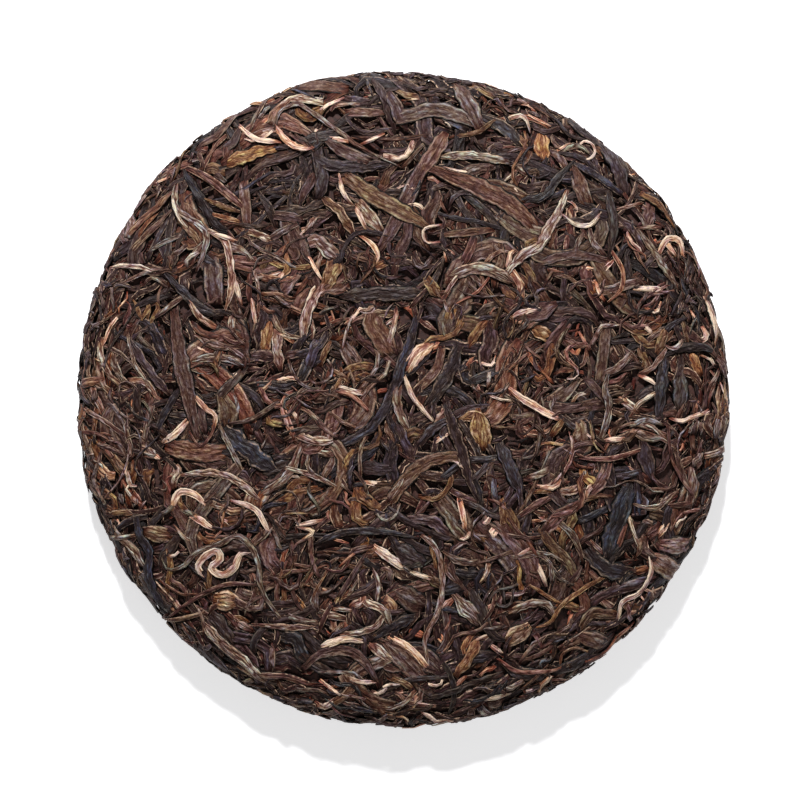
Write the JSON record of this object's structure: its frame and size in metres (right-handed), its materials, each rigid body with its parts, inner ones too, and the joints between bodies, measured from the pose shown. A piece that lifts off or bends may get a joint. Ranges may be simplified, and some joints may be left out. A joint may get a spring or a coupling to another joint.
{
  "type": "raw pu-erh tea cake",
  "caption": "Round flat cake of whole raw tea leaves pressed together, with a rounded rim and a small hollow in its back.",
  "frame": {"origin": "middle of the footprint, on the surface that the back of the cake rests on", "axes": "+Z up out of the face; +X to the right and +Y up as the picture shows the face"},
  "size_m": [0.1984, 0.1994, 0.024],
  "materials": {
    "pressed_leaf": null
  },
  "bodies": {
    "root": {"tea_cake": "pressed_leaf"}
  },
  "joints": []
}
